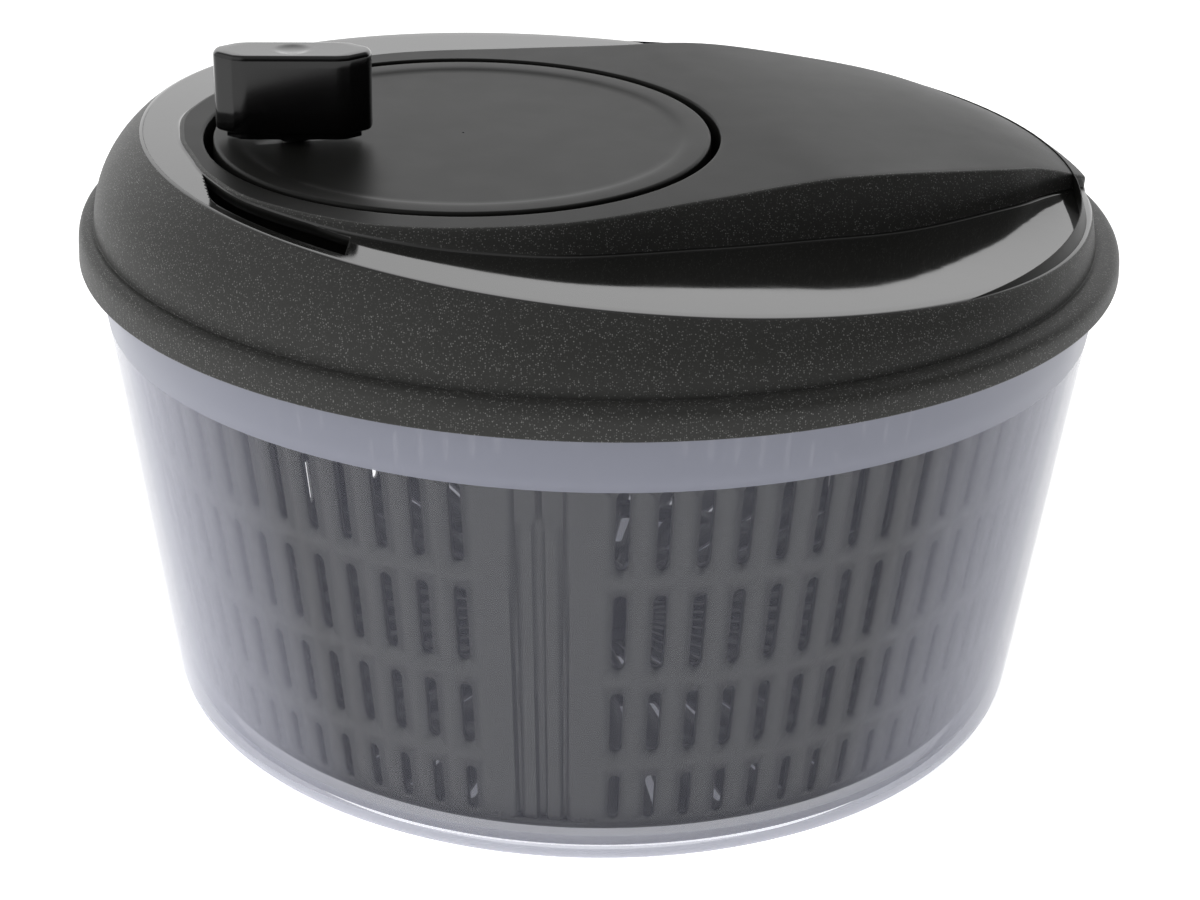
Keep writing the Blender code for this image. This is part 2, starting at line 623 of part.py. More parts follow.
def build_spider(parent):
    profile = [(11.0 * MM, 121.0 * MM), (11.0 * MM, 108.0 * MM), (1.8 * MM, 108.0 * MM),
               (1.8 * MM, 110.2 * MM), (4.8 * MM, 110.2 * MM), (4.8 * MM, 121.0 * MM)]
    spider = turned("drive_spider", profile, closed=True, steps=24)
    for index in range(KEYWAY_COUNT):
        turn = KEYWAY_ANGLE + index * 2 * math.pi / KEYWAY_COUNT
        arm = block(f"spider_arm_{index}", (9.0 * MM, SPIDER_REACH - 1.0 * MM),
                    (-5.5 * MM, 5.5 * MM), (108.4 * MM, 111.8 * MM), turn=turn)
        dog = block(f"spider_dog_{index}", (108.5 * MM, SPIDER_REACH), (-3.0 * MM, 3.0 * MM),
                    (92.0 * MM, 111.4 * MM), turn=turn)
        join(spider, arm, dog)
    finish(spider, plastic("spider_plastic", BASKET_GREY, 0.45), parent)
    washer = turned("spider_washer", [(5.5 * MM, 107.6 * MM), (5.5 * MM, 106.4 * MM),
                                      (1.8 * MM, 106.4 * MM), (1.8 * MM, 107.6 * MM)],
                    steps=20, closed=True)
    finish(washer, steel("spider_washer_steel"), parent)
    screw("spider_screw", (0.0, 0.0, 0.0), 3.4 * MM, 2.0 * MM, 106.1 * MM, 119.0 * MM,
          steel("spider_screw_steel"), parent)


# ---------------------------------------------------------------- assembly
def group(name, at):
    """An empty on a moving group's axis, which carries the group's pieces."""
    empty = bpy.data.objects.new(name, None)
    PIECES.objects.link(empty)
    empty.location = at
    empty.empty_display_size = 0.02
    return empty


def build_salad_spinner():
    base = group("base_group", (0.0, 0.0, 0.0))
    pivot = group("pivot_group", (0.0, 0.0, PIN_TOP))
    basket = group("basket_group", (0.0, 0.0, BASKET_BOTTOM))
    lid = group("lid_group", (0.0, 0.0, SKIRT_BOTTOM))
    crank = group("crank_group", (DISC_X, 0.0, WELL_FLOOR))
    knob = group("knob_group", (KNOB_X, KNOB_Y, KNOB_BOTTOM))
    drive = group("drive_group", (0.0, 0.0, TEETH_BOTTOM))
    build_bowl(base)
    build_pivot_cap(pivot)
    build_basket(basket)
    build_lid_shell(lid)
    build_liner(lid)
    build_shaft_bush(lid)
    build_crank_disc(crank)
    build_ring_gear(crank)
    build_disc_axle(crank)
    build_knob_pin(crank)
    build_knob(knob)
    build_pinion(drive)
    build_spider(drive)


clear_scene()
PIECES = new_collection("salad_spinner")
CUTTERS = new_collection("cutters")
build_salad_spinner()
bpy.context.view_layer.update()
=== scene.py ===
# Salad spinner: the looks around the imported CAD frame. Lengths are in metres, in the frame's own
# axes: +Z up along the spin axis, +X from the crank disc towards the lid's nose.
import json
import math

import bmesh
import bpy
from mathutils import Matrix, Vector


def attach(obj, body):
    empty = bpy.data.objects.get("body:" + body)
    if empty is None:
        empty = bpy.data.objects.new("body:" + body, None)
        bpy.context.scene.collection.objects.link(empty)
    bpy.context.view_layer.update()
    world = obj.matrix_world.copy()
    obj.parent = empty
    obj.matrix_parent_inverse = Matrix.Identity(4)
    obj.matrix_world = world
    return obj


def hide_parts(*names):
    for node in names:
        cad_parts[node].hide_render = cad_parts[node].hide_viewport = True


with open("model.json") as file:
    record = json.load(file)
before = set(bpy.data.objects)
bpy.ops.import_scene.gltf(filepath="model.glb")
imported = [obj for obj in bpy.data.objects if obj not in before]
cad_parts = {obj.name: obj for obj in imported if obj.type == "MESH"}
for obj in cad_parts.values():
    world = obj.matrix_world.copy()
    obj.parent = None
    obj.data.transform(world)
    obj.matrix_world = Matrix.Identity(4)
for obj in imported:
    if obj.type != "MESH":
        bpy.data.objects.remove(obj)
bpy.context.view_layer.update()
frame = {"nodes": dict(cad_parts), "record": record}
MM = 0.001

# Bowl
BOWL_FOOT_RADIUS = 109.7 * MM
BOWL_TAPER = 0.136
BOWL_HEIGHT = 123.0 * MM
BOWL_WALL = 2.2 * MM
BOWL_FLOOR = 3.0 * MM
BOWL_FOOT_ROUND = 9.0 * MM
FROSTED_FROM = 104.6 * MM       # the rim band above this height is cloudier than the wall
BOWL_PIN_RADIUS = 4.0 * MM
BOWL_PIN_TOP = 18.0 * MM
FOOT_RING_INNER = 90.0 * MM
FOOT_RECESS = 0.8 * MM

# Basket
BASKET_BOTTOM = 7.5 * MM
BASKET_TOP = 104.3 * MM
BASKET_TOP_RADIUS = 120.0 * MM
BASKET_TAPER = 0.155
BASKET_WALL = 2.0 * MM
BASKET_CORNER = 3.0 * MM
COLUMNS = 80                    # places for a column of slots round the wall
PANEL_COLUMNS = 3               # of these, left blank at each keyway
KEYWAYS = 4
KEYWAY_ANGLE = math.radians(64.0)
POCKET_FLOOR = 95.0 * MM        # the keyway is open from here up
POCKET_DEPTH = 1.5 * MM
FLUTE_HEIGHT = 1.2 * MM
RIB_HEIGHT = 1.0 * MM
RIB_PLACE = 4.8 * MM            # of the keyway's inner ribs, to each side of its middle
RIB_HALF = 0.9 * MM
FLOOR_SLOT_WIDTH = 2.6 * MM
FLOOR_BRIDGE = 4.0 * MM         # left solid at each end of a floor slot
HUB_RADIUS = 16.0 * MM
HUB_TOP = 22.3 * MM

# Lid
STEP_RADIUS = 124.3 * MM
STEP_HEIGHT = 125.9 * MM
SIDE_LEAN = 0.445
LID_WALL = 2.2 * MM
CHANNEL_HEIGHT = 140.2 * MM
CHANNEL_TILT = 0.0855
PLATEAU_TOP = 149.5 * MM
DISC_X = -36.0 * MM
WELL_RADIUS = 63.0 * MM
WELL_FLOOR = 130.6 * MM
WELL_UNDERSIDE = 128.0 * MM
SLOT_INNER = 100.6 * MM
SLOT_OUTER = 110.9 * MM
NOSE_RADIUS = 121.5 * MM
NOSE_SPREAD = 2.4 * MM          # how much further out the plateau's two nose corners lie
NOSE_FULLNESS = 1.2 * MM
SIDE_SWELL = 1.4 * MM           # mean bulge of the side; none at the nose, double at the disc
LID_RADIUS = 130.0 * MM
SKIRT_INNER = 128.1 * MM
SKIRT_BOTTOM = 119.0 * MM
RIM_SEAT = 123.4 * MM           # rests on the bowl's rim
GUIDE_RADIUS = 119.4 * MM
GUIDE_BOTTOM = 118.8 * MM
SHAFT_HOLE = 7.3 * MM
AXLE_HOLE = 4.3 * MM
BOSS_PLACE = 42.0 * MM
BOSS_RADIUS = 3.6 * MM
BOSS_HOLE = 1.6 * MM
BOSS_BOTTOM = 123.5 * MM

# Crank disc
DISC_RADIUS = 60.8 * MM
DISC_BOTTOM = 143.4 * MM
DISC_UNDERSIDE = 146.4 * MM
DISH_FLOOR = 149.0 * MM
DISC_HUB_RADIUS = 16.0 * MM
DISC_HUB_BOTTOM = 142.1 * MM

# Knob
KNOB_AT = (-76.5 * MM, 7.0 * MM)
KNOB_TURN = math.radians(-17.0)
KNOB_BOTTOM = 152.0 * MM
KNOB_TOP = 171.4 * MM
KNOB_HALF_LENGTH = 19.0 * MM
KNOB_HALF_WIDTH = 7.0 * MM
KNOB_EDGE = 1.2 * MM            # rounding of the top edge
KNOB_SHADE_FOOT_INSET = 2.6 * MM      # the knob stands on a smaller dark foot, put there as painted shade for the knob's shadow on the disc
KNOB_SHADE_FOOT_DEPTH = 1.8 * MM
PIN_HOLE = 2.5 * MM
COLLAR_HOLE = 4.2 * MM
COLLAR_HOLE_TOP = 153.3 * MM
PIN_HEAD_HOLE = 3.8 * MM
PIN_HEAD_FROM = 168.4 * MM
PIN_HEAD_TO = 170.2 * MM

# Studio
WALL_LIGHT = 1.4                # bright wall behind the object
SIDE_LIGHT = 1.0                # soft light at the camera's left
TOP_LIGHT = 0.55
LEVEL_LIGHT = 0.12
FLOOR_LIGHT = 0.75
SHADED_SHARE = 0.15             # what is left of the light at the camera's right


# ---------------------------------------------------------------- node materials
def new_material(name):
    material = bpy.data.materials.new(name)
    material.use_nodes = True
    return material, material.node_tree, material.node_tree.nodes["Principled BSDF"]


def add(tree, kind, inputs=None, **settings):
    """A shader node. Inputs are numbers, colours or the sockets that feed them."""
    item = tree.nodes.new(kind)
    for key, value in settings.items():
        setattr(item, key, value)
    for key, value in (inputs or {}).items():
        if isinstance(value, bpy.types.NodeSocket):
            tree.links.new(value, item.inputs[key])
        else:
            item.inputs[key].default_value = value
    return item


def noise(tree, size, detail=2.0, stretch=(1.0, 1.0, 1.0)):
    """Noise whose features are about `size` metres across, fixed to the object."""
    place = add(tree, "ShaderNodeTexCoord").outputs["Object"]
    if stretch != (1.0, 1.0, 1.0):
        place = add(tree, "ShaderNodeMapping", {"Vector": place, "Scale": stretch}).outputs[0]
    texture = add(tree, "ShaderNodeTexNoise", {"Vector": place, "Scale": 1.0 / size,
                                               "Detail": detail})
    return texture.outputs["Fac"]


def remap(tree, value, low, high, new_low, new_high):
    """Stretch low..high to new_low..new_high, held at both ends."""
    return add(tree, "ShaderNodeMapRange", {"Value": value, "From Min": low, "From Max": high,
                                            "To Min": new_low, "To Max": new_high}).outputs[0]


def blend_colour(tree, factor, first, second):
    """Mix two colours, each given as numbers or as a socket."""
    mix = add(tree, "ShaderNodeMix", data_type="RGBA")
    tree.links.new(factor, mix.inputs["Factor"])
    for socket, colour in zip([i for i in mix.inputs if i.type == "RGBA"], (first, second)):
        if isinstance(colour, bpy.types.NodeSocket):
            tree.links.new(colour, socket)
        else:
            socket.default_value = (*colour, 1.0)
    return [o for o in mix.outputs if o.type == "RGBA"][0]


def shade(colour, share):
    return tuple(min(1.0, part * share) for part in colour)


def plastic(name, colour, roughness, grain=0.5 * MM, depth=0.02 * MM, spread=0.12,
            sparkle=0.0, sparkle_size=0.5 * MM, specular=0.5):
    """Moulded plastic: slow tone changes, a fine moulded grain and, if asked, bright flecks."""
    material, tree, shader = new_material(name)
    slow = noise(tree, 18 * MM)
    tone = blend_colour(tree, slow, shade(colour, 1 - spread), shade(colour, 1 + spread))
    fine = noise(tree, grain, 3.0)
    rough = remap(tree, noise(tree, 9 * MM), 0.3, 0.7, roughness - 0.01, roughness + 0.01)
    if sparkle:
        place = add(tree, "ShaderNodeTexCoord").outputs["Object"]
        cells = add(tree, "ShaderNodeTexVoronoi", {"Vector": place, "Scale": 1 / sparkle_size,
                                                   "Randomness": 1.0})
        near = remap(tree, cells.outputs["Distance"], 0.28, 0.42, 1.0, 0.0)
        pick = add(tree, "ShaderNodeSeparateColor", {"Color": cells.outputs["Color"]}).outputs[0]
        chosen = remap(tree, pick, 0.50, 1.0, 0.0, 1.0)
        fleck = add(tree, "ShaderNodeMath", {0: near, 1: chosen}, operation="MULTIPLY").outputs[0]
        tone = blend_colour(tree, fleck, tone, (sparkle, sparkle, sparkle * 0.97))
    tree.links.new(tone, shader.inputs["Base Color"])
    tree.links.new(rough, shader.inputs["Roughness"])
    bump = add(tree, "ShaderNodeBump", {"Height": fine, "Strength": 1.0, "Distance": depth})
    tree.links.new(bump.outputs[0], shader.inputs["Normal"])
    shader.inputs["Specular IOR Level"].default_value = specular
    return material


def metal(name, colour, roughness):
    """Turned steel with fine rings round its own axis and a few dull patches."""
    material, tree, shader = new_material(name)
    rings = noise(tree, 0.25 * MM, 2.0, (1.0, 1.0, 12.0))
    patches = noise(tree, 3 * MM)
    tone = blend_colour(tree, patches, shade(colour, 0.85), shade(colour, 1.1))
    tree.links.new(tone, shader.inputs["Base Color"])
    tree.links.new(remap(tree, rings, 0.3, 0.7, roughness - 0.06, roughness + 0.08),
                   shader.inputs["Roughness"])
    bump = add(tree, "ShaderNodeBump", {"Height": rings, "Strength": 0.5, "Distance": 0.01 * MM})
    tree.links.new(bump.outputs[0], shader.inputs["Normal"])
    shader.inputs["Metallic"].default_value = 1.0
    return material


def milky(name, colour, veil, edge_veil, roughness):
    """Thin see-through plastic with a milky veil, thicker where it is seen at a glancing angle."""
    material, tree, shader = new_material(name)
    tone = blend_colour(tree, noise(tree, 30 * MM), shade(colour, 0.98), shade(colour, 1.02))
    tree.links.new(tone, shader.inputs["Base Color"])
    tree.links.new(remap(tree, noise(tree, 9 * MM), 0.3, 0.7, roughness, roughness + 0.02),
                   shader.inputs["Roughness"])
    waves = noise(tree, 22 * MM, 1.0, (1.0, 1.0, 0.35))
    bump = add(tree, "ShaderNodeBump", {"Height": waves, "Strength": 0.1, "Distance": 0.2 * MM})
    tree.links.new(bump.outputs[0], shader.inputs["Normal"])
    facing = add(tree, "ShaderNodeLayerWeight", {"Blend": 0.5}).outputs["Facing"]
    tree.links.new(remap(tree, facing, 0.40, 1.0, veil, edge_veil), shader.inputs["Alpha"])
    shader.inputs["IOR"].default_value = 1.49
    return material


DARK = (0.011, 0.011, 0.0102)
LID_GRAINED = plastic("lid_grained", (0.037, 0.037, 0.035), 0.46, grain=0.45 * MM, depth=0.07 * MM,
                      spread=0.06, sparkle=0.22, sparkle_size=0.42 * MM, specular=0.2)
LID_SATIN = plastic("lid_satin", DARK, 0.40, grain=0.35 * MM, depth=0.015 * MM, spread=0.04,
                    specular=0.08)
LID_GLOSS = plastic("lid_gloss", (0.015, 0.015, 0.014), 0.06, grain=3 * MM, depth=0.002 * MM,
                    spread=0.04)
DISC_SATIN = plastic("disc_satin", DARK, 0.42, grain=0.3 * MM, depth=0.012 * MM, spread=0.04,
                     specular=0.12)
KNOB_GLOSS = plastic("knob_gloss", (0.003, 0.003, 0.003), 0.14, grain=4 * MM, depth=0.003 * MM,
                     specular=0.45)
BASKET_PLASTIC = plastic("basket_anthracite", (0.050, 0.050, 0.047), 0.38, grain=0.6 * MM,
                         depth=0.015 * MM, spread=0.06)
NATURAL_PLASTIC = plastic("natural_plastic", (0.60, 0.60, 0.57), 0.42, grain=0.8 * MM,
                          depth=0.01 * MM, spread=0.04)
STEEL = metal("turned_steel", (0.56, 0.56, 0.57), 0.30)
BOWL_CLEAR = milky("bowl_wall", (0.40, 0.41, 0.50), 0.08, 0.90, 0.08)
BOWL_FROSTED = milky("bowl_rim_band", (0.28, 0.29, 0.355), 0.85, 0.90, 0.30)
BOWL_FOOT = milky("bowl_foot", (0.50, 0.51, 0.59), 0.62, 0.85, 0.25)


# ---------------------------------------------------------------- shape helpers
def polar(radius, angle):
    return (radius * math.cos(angle), radius * math.sin(angle))


def spaced(first, last, count):
    return [first + (last - first) * step / (count - 1) for step in range(count)]


def between(value, low, high):
    """0 below low, 1 above high, and a smooth rise between."""
    share = min(1.0, max(0.0, (value - low) / (high - low)))
    return share * share * (3 - 2 * share)


def smooth_through(points, steps):
    """A Catmull-Rom curve through the given points, with this many steps in each span."""
    padded = [points[0], *points, points[-1]]
    curve = []
    for a, b, c, d in zip(padded, padded[1:], padded[2:], padded[3:]):
        for step in range(steps):
            t = step / steps
            curve.append(tuple(
                0.5 * (2 * q + (r - p) * t + (2 * p - 5 * q + 4 * r - s) * t * t
                       + (3 * q - p - 3 * r + s) * t ** 3)
                for p, q, r, s in zip(a, b, c, d)))
    curve.append(points[-1])
    return curve


def look_up(pairs, value):
    """Linear reading of a list of (place, height), sorted by place."""
    if value <= pairs[0][0]:
        return pairs[0][1]
    for (x0, y0), (x1, y1) in zip(pairs, pairs[1:]):
        if value <= x1:
            return y0 + (y1 - y0) * (value - x0) / (x1 - x0)
    return pairs[-1][1]


def rounded(corners, steps=5):
    """A path through (x, y, size) corners, each cut back by its size and rounded."""
    path = []
    for index, (x, y, size) in enumerate(corners):
        here = Vector((x, y))
        if index in (0, len(corners) - 1) or not size:
            path.append((x, y))
            continue
        before = Vector(corners[index - 1][:2]) - here
        after = Vector(corners[index + 1][:2]) - here
        start = here + before * min(0.49, size / max(before.length, 1e-9))
        end = here + after * min(0.49, size / max(after.length, 1e-9))
        for step in range(steps + 1):
            t = step / steps
            point = start * (1 - t) ** 2 + here * 2 * t * (1 - t) + end * t * t
            path.append((point.x, point.y))
    return path


def build(name, shape, materials, smooth_angle=35.0):
    """Turn a bmesh into a finished object."""
    bmesh.ops.remove_doubles(shape, verts=shape.verts, dist=0.02 * MM)
    bmesh.ops.dissolve_degenerate(shape, edges=shape.edges, dist=0.005 * MM)
    bmesh.ops.recalc_face_normals(shape, faces=shape.faces)
    mesh = bpy.data.meshes.new(name)
    shape.to_mesh(mesh)
    shape.free()
    for material in materials:
        mesh.materials.append(material)
    mesh.shade_smooth()
    mesh.set_sharp_from_angle(angle=math.radians(smooth_angle))
    obj = bpy.data.objects.new(name, mesh)
    bpy.context.scene.collection.objects.link(obj)
    return obj


def skin(shape, rings, close_rings=True, zones=None, closed=True):
    """Faces between rows of points. Zones give the material of each step along a ring."""
    rows = [[shape.verts.new(point) for point in ring] for ring in rings]
    follow = rows[1:] + rows[:1] if closed else rows[1:]
    for row, other in zip(rows, follow):
        count = len(row) if close_rings else len(row) - 1
        for i in range(count):
            j = (i + 1) % len(row)
            face = shape.faces.new((row[i], row[j], other[j], other[i]))
            if zones:
                face.material_index = zones[i]


def turned(name, profile, materials, steps=192, zones=None, at=(0.0, 0.0), closed=True):
    """Turn a profile of (radius, height) about an upright axis."""
    shape = bmesh.new()
    rings = []
    for step in range(steps):
        angle = 2 * math.pi * step / steps
        rings.append([(at[0] + r * math.cos(angle), at[1] + r * math.sin(angle), z)
                      for r, z in profile])
    skin(shape, rings, close_rings=closed, zones=zones)
    return build(name, shape, materials)


def prism(outline, low, high):
    """A closed upright prism as a bmesh."""
    shape = bmesh.new()
    bottom = [shape.verts.new((x, y, low)) for x, y in outline]
    top = [shape.verts.new((x, y, high)) for x, y in outline]
    shape.faces.new(list(reversed(bottom)))
    shape.faces.new(top)
    for i in range(len(outline)):
        j = (i + 1) % len(outline)
        shape.faces.new((bottom[i], bottom[j], top[j], top[i]))
    return shape


def cut(target, tool):
    """Take one object away from another with an exact boolean, and remove the tool."""
    modifier = target.modifiers.new("cut", "BOOLEAN")
    modifier.operation = "DIFFERENCE"
    modifier.solver = "EXACT"
    modifier.object = tool
    bpy.context.view_layer.update()
    graph = bpy.context.evaluated_depsgraph_get()
    mesh = bpy.data.meshes.new_from_object(target.evaluated_get(graph))
    target.modifiers.clear()
    target.data = mesh
    bpy.data.objects.remove(tool, do_unlink=True)


def round_cutter(name, centre, radius, low, high, material):
    """An upright 32-sided cutter."""
    outline = [(centre[0] + x, centre[1] + y) for x, y in
               (polar(radius, angle) for angle in spaced(0.0, 2 * math.pi * 31 / 32, 32))]
    return build(name, prism(outline, low, high), [material])


def show(piece, body, slot, *nodes):
    """Let a piece move with a body, in place of the named CAD nodes. The slot argument is not used.
    """
    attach(piece, body)
    if nodes:
        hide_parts(*nodes)
    return piece


# ---------------------------------------------------------------- bowl
def bowl_profile():
    """Half section: up the inside from the pin, over the rim and down to the foot."""
    outer = BOWL_FOOT_RADIUS
    inner = BOWL_FOOT_RADIUS - BOWL_WALL
    rim = outer + BOWL_TAPER * BOWL_HEIGHT
    band = outer + BOWL_TAPER * FROSTED_FROM
    inside_round = BOWL_FOOT_ROUND - BOWL_WALL
    corners = [(0.0, BOWL_PIN_TOP, 0.0), (BOWL_PIN_RADIUS, BOWL_PIN_TOP, 1.0 * MM),
               (BOWL_PIN_RADIUS, BOWL_FLOOR, 0.8 * MM), (inner, BOWL_FLOOR, inside_round),
               (band - BOWL_WALL, FROSTED_FROM, 0.0),
               (rim - BOWL_WALL, BOWL_HEIGHT, 0.5 * MM), (rim, BOWL_HEIGHT, 0.5 * MM),
               (band, FROSTED_FROM, 0.0),
               (outer, 0.0, BOWL_FOOT_ROUND), (FOOT_RING_INNER, 0.0, 1.0 * MM),
               (FOOT_RING_INNER - 2.0 * MM, FOOT_RECESS, 0.8 * MM), (0.0, FOOT_RECESS, 0.0)]
    return rounded(corners, 10)


def make_bowl():
    profile = bowl_profile()
    clear, frosted, foot = range(3)
    zones = []
    for a, b in zip(profile, profile[1:]):
        if min(a[1], b[1]) > FROSTED_FROM - 0.01 * MM:
            zones.append(frosted)
        elif max(a[1], b[1]) < 0.95 * BOWL_FOOT_ROUND:
            zones.append(foot)
        else:
            zones.append(clear)
    bowl = turned("bowl_shell", profile, [BOWL_CLEAR, BOWL_FROSTED, BOWL_FOOT], steps=256,
                  zones=zones, closed=False)
    show(bowl, "base", "bowl_clear", "bowl")


# ---------------------------------------------------------------- basket
def basket_radius(height):
    return BASKET_TOP_RADIUS - BASKET_TAPER * (BASKET_TOP - height)


# top, bottom and width of the slots in each row
SLOT_ROWS = ((102.9 * MM, 81.6 * MM, 3.1 * MM), (75.4 * MM, 54.6 * MM, 3.1 * MM),
             (48.4 * MM, 31.0 * MM, 3.0 * MM), (24.4 * MM, 11.4 * MM, 2.6 * MM))


def slot_tile(shape, place, low, high, across, slot, end_steps, side_steps):
    """One cell of the lattice: u runs 0..1 across, v from low to high, with a round-ended slot.

    `place` puts (u, v) on the surface; `across` is the cell's width; slot is (low, high, width).
    """
    frame_loop, slot_loop = [], []
    s_low, s_high, width = slot
    half = width / 2 / across
    radius = width / 2
    for i in range(end_steps):                                   # along the bottom
        angle = math.pi + math.pi * i / end_steps
        frame_loop.append((i / end_steps, low))
        slot_loop.append((0.5 + half * math.cos(angle), s_low + radius + radius * math.sin(angle)))
    for i in range(side_steps):                                  # up the right side
        t = i / side_steps
        frame_loop.append((1.0, low + (high - low) * t))
        slot_loop.append((0.5 + half, s_low + radius + (s_high - s_low - width) * t))
    for i in range(end_steps):                                   # back along the top
        angle = math.pi * i / end_steps
        frame_loop.append((1.0 - i / end_steps, high))
        slot_loop.append((0.5 + half * math.cos(angle), s_high - radius + radius * math.sin(angle)))
    for i in range(side_steps):                                  # down the left side
        t = i / side_steps
        frame_loop.append((0.0, high + (low - high) * t))
        slot_loop.append((0.5 - half, s_high - radius - (s_high - s_low - width) * t))
    outer = [shape.verts.new(place(u, v)) for u, v in frame_loop]
    inner = [shape.verts.new(place(u, v)) for u, v in slot_loop]
    for i in range(len(outer)):
        j = (i + 1) % len(outer)
        shape.faces.new((outer[i], outer[j], inner[j], inner[i]))


def panel_relief(across, height):
    """How far the blank panel stands in or out: a keyway pocket above two flutes."""
    side = abs(across)
    pocket = 1 - between(side, 5.8 * MM, 6.4 * MM)
    flute = between(side, 0.6 * MM, 1.4 * MM) * (1 - between(side, 4.0 * MM, 5.0 * MM))
    flute_top = POCKET_FLOOR - 0.6 * max(0.0, side - 2.6 * MM)
    below = 1 - between(height, flute_top - 1.4 * MM, flute_top)
    rib = 1 - between(side, 0.3 * MM, 0.7 * MM)
    above = between(height, POCKET_FLOOR - 3 * MM, POCKET_FLOOR)
    return FLUTE_HEIGHT * flute * below + RIB_HEIGHT * rib * above - POCKET_DEPTH * pocket


PITCH = 2 * math.pi / COLUMNS
FIRST_COLUMN = KEYWAY_ANGLE - PANEL_COLUMNS / 2 * PITCH
END_STEPS = 4                   # points round a slot's end
SIDE_STEPS = 12                 # and along its side


def blank_panel(shape, first, middle, levels):
    """One column of a blank panel, from the azimuth `first`; `middle` is the keyway's."""
    columns = 12
    rows = []
    for z in levels:
        row = []
        for i in range(columns + 1):
            angle = first + PITCH * i / columns
            radius = basket_radius(z) + panel_relief(basket_radius(z) * (angle - middle), z)
            row.append((*polar(radius, angle), z))
        rows.append(row)
    skin(shape, rows, close_rings=False, closed=False)


def basket_wall(shape):
    """Columns of slots, and a blank panel at each keyway."""
    edges = [BASKET_TOP]
    for (_, upper_low, _), (lower_top, _, _) in zip(SLOT_ROWS, SLOT_ROWS[1:]):
        edges.append((upper_low + lower_top) / 2)
    edges.append(BASKET_BOTTOM + BASKET_CORNER)
    levels = sorted({round(low + (high - low) * i / SIDE_STEPS, 7)
                     for high, low in zip(edges, edges[1:]) for i in range(SIDE_STEPS + 1)})

    def on_wall(first):
        def place(u, v):
            return (*polar(basket_radius(v), first + u * PITCH), v)
        return place

    for index in range(COLUMNS):
        column = index % (COLUMNS // KEYWAYS)
        first = KEYWAY_ANGLE + (index - PANEL_COLUMNS / 2) * PITCH
        if column < PANEL_COLUMNS:
            blank_panel(shape, first, KEYWAY_ANGLE + (index - column) * PITCH, levels)
            continue
        for (top, low, width), high_edge, low_edge in zip(SLOT_ROWS, edges, edges[1:]):
            slot_tile(shape, on_wall(first), low_edge, high_edge,
                      PITCH * basket_radius((top + low) / 2), (low, top, width),
                      END_STEPS, SIDE_STEPS)


def basket_floor(shape):
    """Rings of radial slots, the rounded corner outside them and the hub inside them."""
    corner_radius = basket_radius(BASKET_BOTTOM + BASKET_CORNER)
    rings = (corner_radius - BASKET_CORNER, 70.0 * MM, 42.0 * MM, HUB_RADIUS)
    wide = 2 * PITCH

    def on_floor(first):
        def place(u, v):
            return (*polar(-v, first + u * wide), BASKET_BOTTOM)
        return place

    for outer, inner in zip(rings, rings[1:]):
        for index in range(COLUMNS // 2):
            slot_tile(shape, on_floor(FIRST_COLUMN + index * wide), -outer, -inner,
                      wide * (outer + inner) / 2,
                      (-outer + FLOOR_BRIDGE, -inner - FLOOR_BRIDGE, FLOOR_SLOT_WIDTH),
                      2 * END_STEPS, SIDE_STEPS)
    corner = [(corner_radius - BASKET_CORNER + BASKET_CORNER * math.sin(a),
               BASKET_BOTTOM + BASKET_CORNER - BASKET_CORNER * math.cos(a))
              for a in spaced(math.pi / 2, 0.0, 6)]
    hub = rounded([(HUB_RADIUS, BASKET_BOTTOM, 0.0), (8.0 * MM, BASKET_BOTTOM, 1.0 * MM),
                   (7.0 * MM, HUB_TOP, 1.0 * MM), (0.4 * MM, HUB_TOP, 0.0)], 4)
    around = COLUMNS * END_STEPS
    for profile in (corner, hub):
        rows = [[(*polar(r, FIRST_COLUMN + 2 * math.pi * step / around), z) for r, z in profile]
                for step in range(around)]
        skin(shape, rows, close_rings=False)


def make_basket():
    shape = bmesh.new()
    basket_wall(shape)
    basket_floor(shape)
    basket = build("basket_body", shape, [BASKET_PLASTIC], 50.0)
    thick = basket.modifiers.new("wall", "SOLIDIFY")
    thick.thickness = BASKET_WALL
    thick.offset = -1.0
    bpy.context.view_layer.update()
    graph = bpy.context.evaluated_depsgraph_get()
    basket.data = bpy.data.meshes.new_from_object(basket.evaluated_get(graph))
    basket.modifiers.clear()
    show(basket, "basket", "basket_grey", "basket")


def make_keyway_ribs():
    """A rib at each side of every keyway, inside the wall."""
    section = [(109.2 * MM, 102.0 * MM), (109.2 * MM, 80.0 * MM), (113.6 * MM, 74.0 * MM),
               (117.6 * MM, 102.6 * MM), (110.4 * MM, 102.6 * MM)]
    shape = bmesh.new()
    for index in range(KEYWAYS):
        turn = Matrix.Rotation(KEYWAY_ANGLE + index * 2 * math.pi / KEYWAYS, 4, "Z")
        for side in (-RIB_PLACE, RIB_PLACE):
            rows = [[turn @ Vector((r, side + half, z)) for r, z in section]
                    for half in (-RIB_HALF, RIB_HALF)]
            skin(shape, rows, closed=False)
            for row in rows:
                shape.faces.new([shape.verts.new(point) for point in row])
    ribs = build("basket_keyway_ribs", shape, [BASKET_PLASTIC], 30.0)
    show(ribs, "basket", "basket_grey")


# ---------------------------------------------------------------- lid
# plan of the plateau on the +Y side, from behind the disc to past the nose
HALF_OUTLINE = smooth_through([
    (-103.4 * MM, -8.0 * MM), (-103.4 * MM, 0.0), (-102.6 * MM, 16.0 * MM),
    (-95.5 * MM, 38.0 * MM), (-72.5 * MM, 62.0 * MM), (-36.0 * MM, 71.6 * MM),
    (0.0, 66.6 * MM), (27.0 * MM, 61.8 * MM), (54.0 * MM, 58.8 * MM), (86.0 * MM, 49.4 * MM),
    (101.0 * MM, 42.6 * MM), (117.0 * MM, 35.4 * MM), (140.0 * MM, 24.5 * MM)], 12)[12:]
OUTLINE_POLAR = sorted((math.atan2(y, x), math.hypot(x, y)) for x, y in HALF_OUTLINE)
